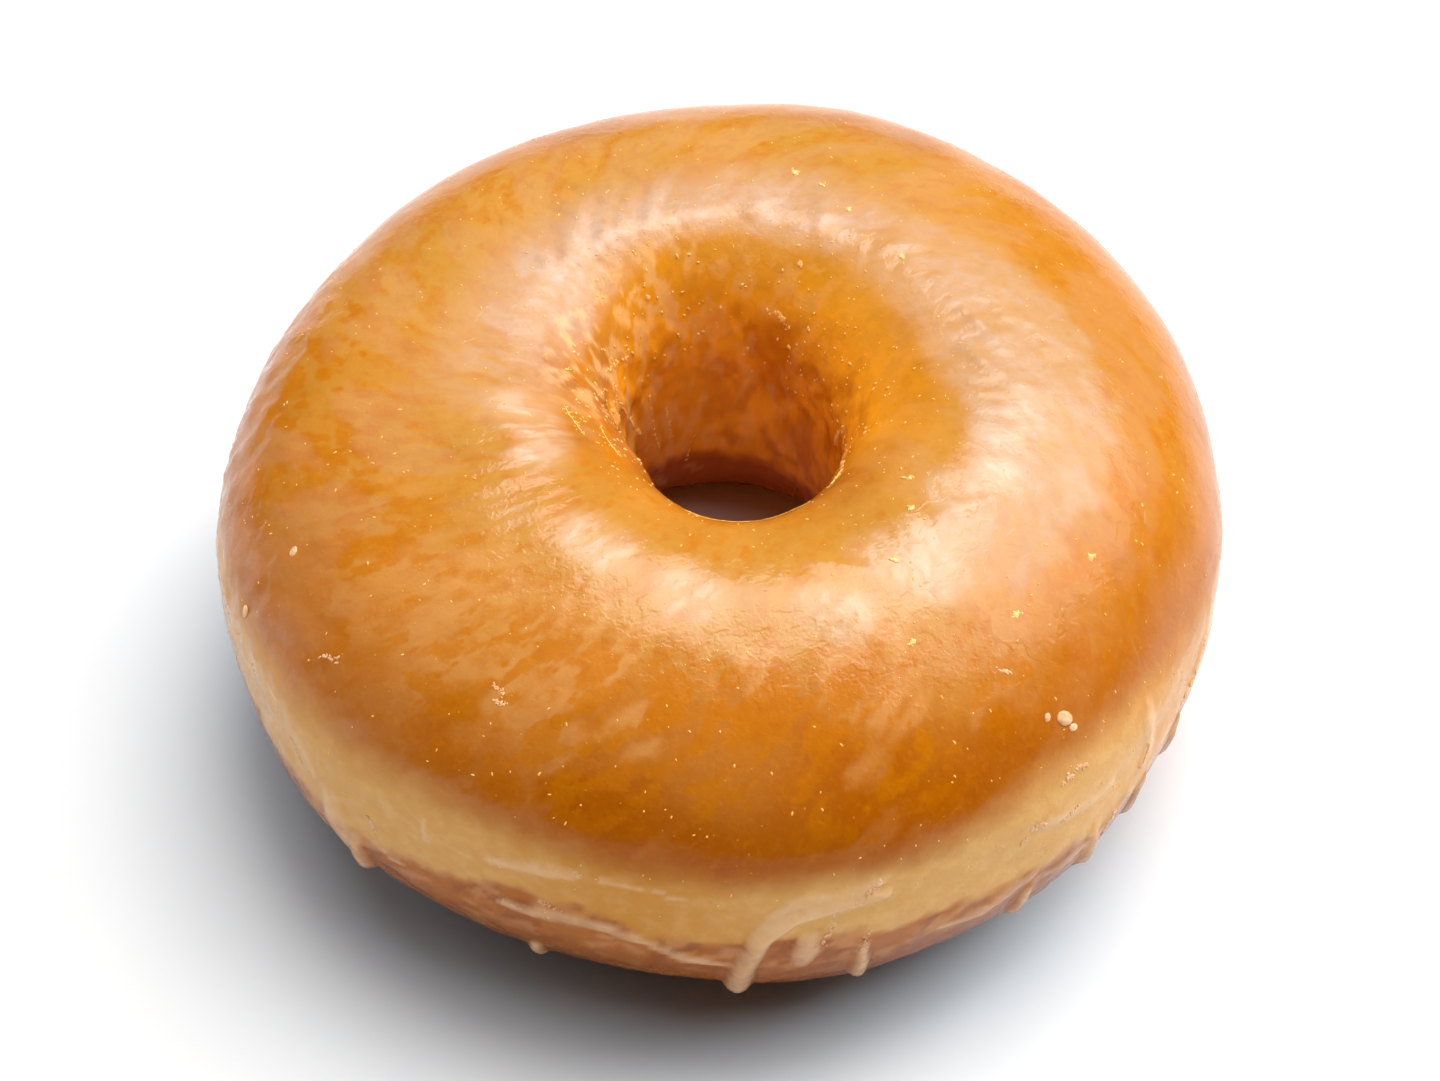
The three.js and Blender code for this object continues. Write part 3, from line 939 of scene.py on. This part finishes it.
# %% [markdown]
# ## Ridges and beads of glaze
# Beside its runs the glaze dried in crumbled ridges, and at the hole's lip in fine lines. On top
# lie white beads and hundreds of specks of sugar. They are small closed meshes, half sunk in the
# skin, in a glaze that is paler and milkier than the crust.

# %% Paint the glaze
CLEAR_MILK = srgb(222, 160, 104)
DENSE_MILK = srgb(240, 196, 150)
SPECK_GOLD = srgb(250, 192, 104)
glaze, glaze_shader, glaze_spot = new_material("dried_glaze")
density = glaze_spot.clouds((1.4, 1.4, 2.0), 3.7, 3.0, 0.6).step(0.3, 0.7)
glaze_colour = blend(density, CLEAR_MILK, DENSE_MILK)
golden = read(glaze.node_tree, "golden")
feed(glaze_shader, "Base Color", blend(golden, glaze_colour, SPECK_GOLD))
roughened = glaze_spot.clouds(0.5, 6.2, 2.0)
glaze_bump = {"Strength": 0.5, "Distance": 0.0003, "Height": roughened}
feed(glaze_shader, "Normal", roughened.node("ShaderNodeBump", {}, glaze_bump))
glaze_shader.inputs["Roughness"].default_value = 0.2
glaze_shader.inputs["Specular IOR Level"].default_value = 0.3
print("glaze nodes", len(glaze.node_tree.nodes))

# %% [markdown]
# ### Tubes
# A fine line of glaze is a closed tube with round ends, laid along a path. Blender could bevel a
# curve, but a tube made here follows the skin and can change its width on the way.

# %% Shape tubes on the skin


def rings_of_squares(first, rings, sides):
    """Squares between rings of points, counted from the number of the first point."""
    corner = first + np.arange(rings * sides).reshape(rings, sides)
    beside = np.roll(corner, -1, axis=1)
    squares = [corner[:-1], corner[1:], beside[1:], beside[:-1]]
    return np.stack(squares, axis=-1).reshape(-1, 4).tolist()


def tube(path, sides, rings):
    """A closed tube along stops of azimuth, distance from the crest, half width, and flatness."""
    stops = np.array(path, float)
    share = np.linspace(0, 1, rings)
    knots = np.linspace(0, 1, len(stops))
    spline = np.array([np.interp(share, knots, column) for column in stops.T])
    for _ in range(3):
        spline[:, 1:-1] = (spline[:, :-2] + 2 * spline[:, 1:-1] + spline[:, 2:]) / 4
    centres = skin_place(spline[0], spline[1], skin_points)
    upward = skin_place(spline[0], spline[1], normals)
    forward = np.gradient(centres, axis=0)
    forward /= np.linalg.norm(forward, axis=1, keepdims=True)
    sideways = np.cross(forward, upward)
    sideways /= np.linalg.norm(sideways, axis=1, keepdims=True)
    turn = np.linspace(0, WHOLE_TURN, sides, endpoint=False)[None, :, None]
    rounding = np.sqrt(np.clip(1 - (2 * share - 1) ** 16, 0, 1))[:, None, None]
    wide = rounding * spline[2][:, None, None]
    tall = wide * spline[3][:, None, None]
    points = (centres[:, None] + wide * np.cos(turn) * sideways[:, None]
              + tall * np.sin(turn) * upward[:, None])
    faces = [square[:1] + square[:0:-1] for square in rings_of_squares(0, rings, sides)]
    faces.append(list(range(sides))[::-1])
    faces.append([(rings - 1) * sides + side for side in range(sides)])
    return points.reshape(-1, 3), faces


print("squares of a tube of 90 rings", len(rings_of_squares(0, 90, 6)))

# %% [markdown]
# ### Beads and crumbs
# A bead is a flattened ball, and a crumb is a small uneven bead. Crumbs strewn thickly along a
# path make the crumbled edge of a sheet of glaze, which no smooth tube would.

# %% Shape beads on the skin
BEAD_SIDES, BEAD_RINGS = 10, 6
CRUMB_SIDES, CRUMB_RINGS = 6, 4
RIM_RADIUS = 40


def bead(at, where, size, flatness, long, twist, sides=BEAD_SIDES, rings=BEAD_RINGS):
    """A ball at an azimuth and a distance from the crest, flattened, drawn out and turned."""
    centre, upward = skin_place(at, where, skin_points), skin_place(at, where, normals)
    upward = upward / np.linalg.norm(upward)
    first = np.cross(upward, (math.cos(twist), math.sin(twist), 0.3))
    first = first / np.linalg.norm(first)
    second = np.cross(upward, first)
    lean = math.pi * np.arange(1, rings)[:, None, None] / rings
    turn = WHOLE_TURN * np.arange(sides)[None, :, None] / sides
    rim = np.sin(lean) * (np.cos(turn) * first * long + np.sin(turn) * second)
    rim = (rim + flatness * np.cos(lean) * upward).reshape(-1, 3)
    points = centre + size * np.concatenate([[flatness * upward], rim, [-flatness * upward]])
    last, final = 1 + (rings - 2) * sides, len(points) - 1
    faces = [(0, 1 + side, 1 + (side + 1) % sides) for side in range(sides)]
    faces += rings_of_squares(1, rings - 1, sides)
    faces += [(final, last + (side + 1) % sides, last + side) for side in range(sides)]
    return points, faces


def crumb(at, where, size, flatness, longest):
    """A small bead, drawn out and turned by chance."""
    return bead(at, where, size, flatness, chance.uniform(1.0, longest), chance.uniform(0, 6.28),
                CRUMB_SIDES, CRUMB_RINGS)


def part_way(path, stop):
    """A path's azimuth and distance from the crest at a stop, or a part of the way to the next."""
    return [np.interp(stop, range(len(path)), column) for column in np.array(path, float).T]


def crumbs(path, count, size, spread):
    """Crumbs strewn along a path."""
    strewn = []
    for _ in range(count):
        at, where = part_way(path, chance.uniform(0, len(path) - 1))
        at += math.degrees(chance.normal(0, spread) / RIM_RADIUS)
        where += chance.normal(0, spread)
        strewn.append(crumb(at, where, size * chance.uniform(0.4, 1.1), 0.6, 2.6))
    return strewn


def join(parts):
    """Many small closed meshes as one: their points and faces, renumbered."""
    points, faces, count = [], [], 0
    for part_points, part_faces in parts:
        points.append(part_points)
        faces.extend(tuple(corner + count for corner in face) for face in part_faces)
        count += len(part_points)
    return np.concatenate(points), faces


print("a bead has", len(bead(0, 0, 1, 1, 1, 0)[1]), "faces")

# %% [markdown]
# ### Where the ridges lie
# Each ridge of the table has its thickness in mm and its path. Three fine lines run along the
# hole's lip, and five bubbles have burst and left a rim of crumbs.

# %% Lay the ridges
RIDGES = [
    (0.13, [(285.5, 28.6), (285.4, 29.6)]), (0.14, [(285.1, 29.1), (284.1, 30.1), (283.2, 30.7)]),
    (0.14, [(281, 32), (280.9, 33.5), (280.4, 35.3), (280, 37.2)]),
    (0.13, [(284.6, 35.3), (284.2, 36.9), (284.1, 38.5)]),
    (0.15, [(306.4, 27.1), (307.8, 26.8), (308.9, 26.4), (310, 26.6)]),
    (0.15, [(301.3, 31.3), (302.4, 30.6), (303.2, 29.8), (304.5, 30.2)]),
    (0.13, [(306.1, 31.6), (307.8, 31.1), (309, 30.9)]),
    (0.15, [(315.1, 40), (314.4, 37.6), (315.7, 36.4)]),
    (0.13, [(319.9, 34), (321.1, 33.3), (321.4, 32)]),
    (0.16, [(330.5, 35), (333.8, 34.4), (335.8, 33), (337.9, 31.6)]),
    (0.12, [(251, 34.2), (252.6, 34.6), (253.8, 34.8)]),
    (0.13, [(218.9, 31), (220.1, 31.4), (220.9, 33)]), (0.14, [(246.6, 36), (248.8, 36.2)]),
    (0.1, [(254.9, 29), (256, 29.8)]), (0.12, [(305.1, 15.6), (306.2, 16.3)]),
    (0.1, [(241.2, 16), (242.9, 16.4)]), (0.1, [(242, 17.2), (243.6, 17)]),
    (0.12, [(220.1, 21.5), (222.5, 20.6)]), (0.13, [(231.1, 33), (231.8, 34.2)]),
    (0.16, [(170, -13), (160, -17), (152, -21), (143, -25)]),
    (0.14, [(124.3, -21), (122.5, -25.4), (118, -30)]), (0.14, [(115, -24.4), (112.3, -29)]),
    (0.16, [(153.5, -12.6), (142.2, -14), (131, -14.6)]),
    (0.18, [(153, -13), (150, -16.7), (144, -19.5)]),
    (0.17, [(137.8, -21.7), (134, -24), (130.6, -25.4)]),
    (0.16, [(9.9, -16), (20, -19.4), (24, -21.3)]),
    (0.18, [(335, -13.4), (322, -11.4), (311, -10.6)]),
    (0.16, [(74, -12.6), (68.6, -12.4), (63, -13.2)]),
    (0.12, [(100.3, -28.7), (104, -31), (105, -34)])]
LIP_LINES = [
    [(202.8, -9), (212, -8.8), (222, -9)], [(196, -6), (203, -6.2), (211, -6.4)],
    [(256, -8.8), (266, -8.7), (274.5, -8.8), (284, -9.2), (292, -9.8), (302, -10.4)]]
# Azimuth in degrees, distance from the crest in mm, radius in mm
BURST_BUBBLES = [
    (298.8, 30.1, 0.5), (304.5, 34, 0.45), (246.3, 31.1, 0.5), (251.6, 35.9, 0.45), (285.2, 28.8, 0.3)]
BUBBLE_RADIUS = 44
LIP_RADIUS = 22
parts = []
for thickness, path in RIDGES:
    parts += crumbs(path, 12 + 4 * len(path), thickness, 0.12)
for path in LIP_LINES:
    dense = [(*part_way(path, stop), chance.uniform(0.02, 0.08), 0.6)
             for stop in np.linspace(0, len(path) - 1, 40)]
    parts.append(tube(dense, 6, 90))
    parts += crumbs(path, 30, 0.08, 0.2)
for at, where, size in BURST_BUBBLES:
    rim = [(at + math.degrees(size * math.cos(turn) / BUBBLE_RADIUS), where + size * math.sin(turn))
           for turn in np.linspace(0, 1.8 * math.pi, 10)]
    parts += crumbs(rim, 14, 0.07, 0.05)
points, faces = join(parts)
ridges = make_piece("glaze_ridges", points, faces, glaze)
carry(ridges, "golden", np.hypot(points[:, 0], points[:, 1]) < LIP_RADIUS)
print("ridges", len(parts), "faces", len(faces))

# %% [markdown]
# ### Where the beads lie
# The beads stand where the photograph shows them, by azimuth, distance from the crest and size.
# The white ones are whole, and crumbs lie round the others, which are clear bubbles.

# %% Lay the beads and the specks of sugar
BEADS = [
    (76, 4.2, 0.5), (69.5, 3.2, 0.35), (61.2, 1.1, 0.4), (41.3, -1.3, 0.45), (301.9, 3.2, 0.4),
    (326.7, 14.1, 0.45), (311.7, 12.6, 0.4), (296.7, 10.5, 0.35), (309.4, 21.8, 0.62),
    (312.8, -0.4, 0.4), (206.8, 18.8, 0.4), (206.2, 26.2, 0.45), (65.8, -6.9, 0.35),
    (118.8, -10.4, 0.4), (319.9, -2.6, 0.4), (309.9, 22.9, 0.35), (307.5, 20.9, 0.3)]
WHITE_BEADS = [8, 10, 11, 15, 16]
CLEAR_SHARE = 0.6
GOLDEN_SHARE = 0.3
SPECKS, HOLE_SPECKS = 850, 160
parts = [bead(at, where, size * (1.0 if index in WHITE_BEADS else CLEAR_SHARE), 0.35, 1.3, at)
         for index, (at, where, size) in enumerate(BEADS)]
bead_points = len(parts[0][0])
for index, (at, where, size) in enumerate(BEADS):
    if index not in WHITE_BEADS:
        parts += crumbs([(at - 0.6, where), (at + 0.6, where + 0.1)], 9, 0.14, 0.35 * size)
for _ in range(SPECKS):
    at, where = chance.uniform(0, 360), chance.uniform(-14, 33)
    parts.append(crumb(at, where, chance.uniform(0.05, 0.1), 0.8, 2.6))
for _ in range(HOLE_SPECKS):
    at, where = chance.uniform(-20, 215), chance.uniform(-20, -7)
    parts.append(crumb(at, where, chance.uniform(0.07, 0.16), 0.7, 2.2))
points, faces = join(parts)
beads = make_piece("sugar_beads", points, faces, glaze)
owner = np.arange(len(points)) // bead_points
golden = np.where(np.isin(owner, WHITE_BEADS), 0.0, GOLDEN_SHARE)
carry(beads, "golden", np.where(owner < len(BEADS), golden, 1.0))
print("beads and specks", len(parts), "faces", len(faces))

# %% [markdown]
# ## The floor
# The doughnut stands on a plain pale card. The photograph's shadow is neutral grey, but dough
# throws orange light on the card, so the card is tinted a little towards blue on the shaded
# side. Under the hole the photograph is brown, so the card there is painted a warm brown,
# painted shade warmed by light that bounces off the dough.

# %% Lay the floor
SHADE_SIDE = (math.cos(math.radians(240)), math.sin(math.radians(240)), 0.0)
COOLED = (0.64, 0.82, 0.95, 1.0)
PAINTED_WARM_SHADE = (0.80, 0.42, 0.20, 1.0)
FLOOR_HALF = 4000.0
floor_material, floor_shader, floor_spot = new_material("white_card")
card = floor_spot.clouds(25.0, 0, 3.0)
white = blend(card, srgb(236, 236, 236), srgb(240, 240, 240))
from_ring = floor_spot.vector("LENGTH", {}, output=1)
towards_shade = floor_spot.vector("DOT_PRODUCT", {1: SHADE_SIDE}, output=1)
close = (1.0 - from_ring.step(40, 52)) * 0.6 + (1.0 - from_ring.step(45, 72)) * 0.3
painted = blend(close * towards_shade.step(-15, 25), white, COOLED)
# Painted shade under the hole, warmed by light that bounces off the dough.
under_hole_painted_shade = 1.0 - from_ring.step(8, 16)
feed(floor_shader, "Base Color", blend(under_hole_painted_shade, painted, PAINTED_WARM_SHADE))
floor_shader.inputs["Roughness"].default_value = 0.9
floor_shader.inputs["Specular IOR Level"].default_value = 0.1
corners = [(FLOOR_HALF * x, FLOOR_HALF * y, 0) for x, y in ((-1, -1), (1, -1), (1, 1), (-1, 1))]
floor = add_mesh("floor", corners, [(0, 1, 2, 3)], floor_material)
print("floor", 2 * FLOOR_HALF * MM, "m wide")

# %% [markdown]
# ## The lights
# The photograph's light is large and soft, from behind and from the right. Nine wide lamps only
# shade, with strengths that were fitted to the floor's shadow, and two show only as highlights
# on the glaze. A weak one from the front lights the doughnut alone, as a white studio would.

# %% Hang the lights
LAMP_WIDTH = 36
# Azimuth and elevation in degrees, and strength
LAMPS = [(30, 24, 1.98), (65, 24, 0.33), (158, 24, 0.44), (20, 46, 0.6), (120, 46, 0.4),
         (60, 68, 1.7), (0, 68, 0.67), (120, 68, 0.38), (0, 90, 0.33)]
ROOM_COLOUR = (0.9, 0.96, 1.03, 1.0)
ROOM_LIGHT = 0.03


def hang_light(name, azimuth, elevation, width, strength, mirrored):
    """A round soft light far away, by where it hangs and how wide it looks, all in degrees."""
    data = bpy.data.lights.new(name, "SUN")
    data.energy = strength
    data.angle = math.radians(width)
    lamp = add_object(name, data)
    turn, rise = math.radians(azimuth), math.radians(elevation)
    towards = Vector((math.cos(rise) * math.cos(turn), math.cos(rise) * math.sin(turn), math.sin(rise)))
    lamp.rotation_euler = towards.to_track_quat("Z", "Y").to_euler()
    lamp.visible_glossy = mirrored
    lamp.visible_diffuse = not mirrored
    return lamp


hang_light("back_reflector", 80, 61, 28, 2.5, True)
hang_light("side_reflector", 38, 52, 40, 2.4, True)
for number, (azimuth_at, elevation_at, strength) in enumerate(LAMPS):
    hang_light(f"lamp_{number}", azimuth_at, elevation_at, LAMP_WIDTH, strength, False)

ring_only = bpy.data.collections.new("ring_only")
for piece in (skin, ridges, beads):
    ring_only.objects.link(piece)
glow = hang_light("front_glow", 262, 52, 50, 0.8, False)
glow.light_linking.receiver_collection = ring_only

world = bpy.data.worlds.new("room")
bpy.context.scene.world = world
world.use_nodes = True
room = world.node_tree.nodes["Background"]
room.inputs["Color"].default_value = ROOM_COLOUR
room.inputs["Strength"].default_value = ROOM_LIGHT
bpy.context.scene.view_settings.view_transform = "Standard"
print("lights", len(bpy.data.lights))

# %% [markdown]
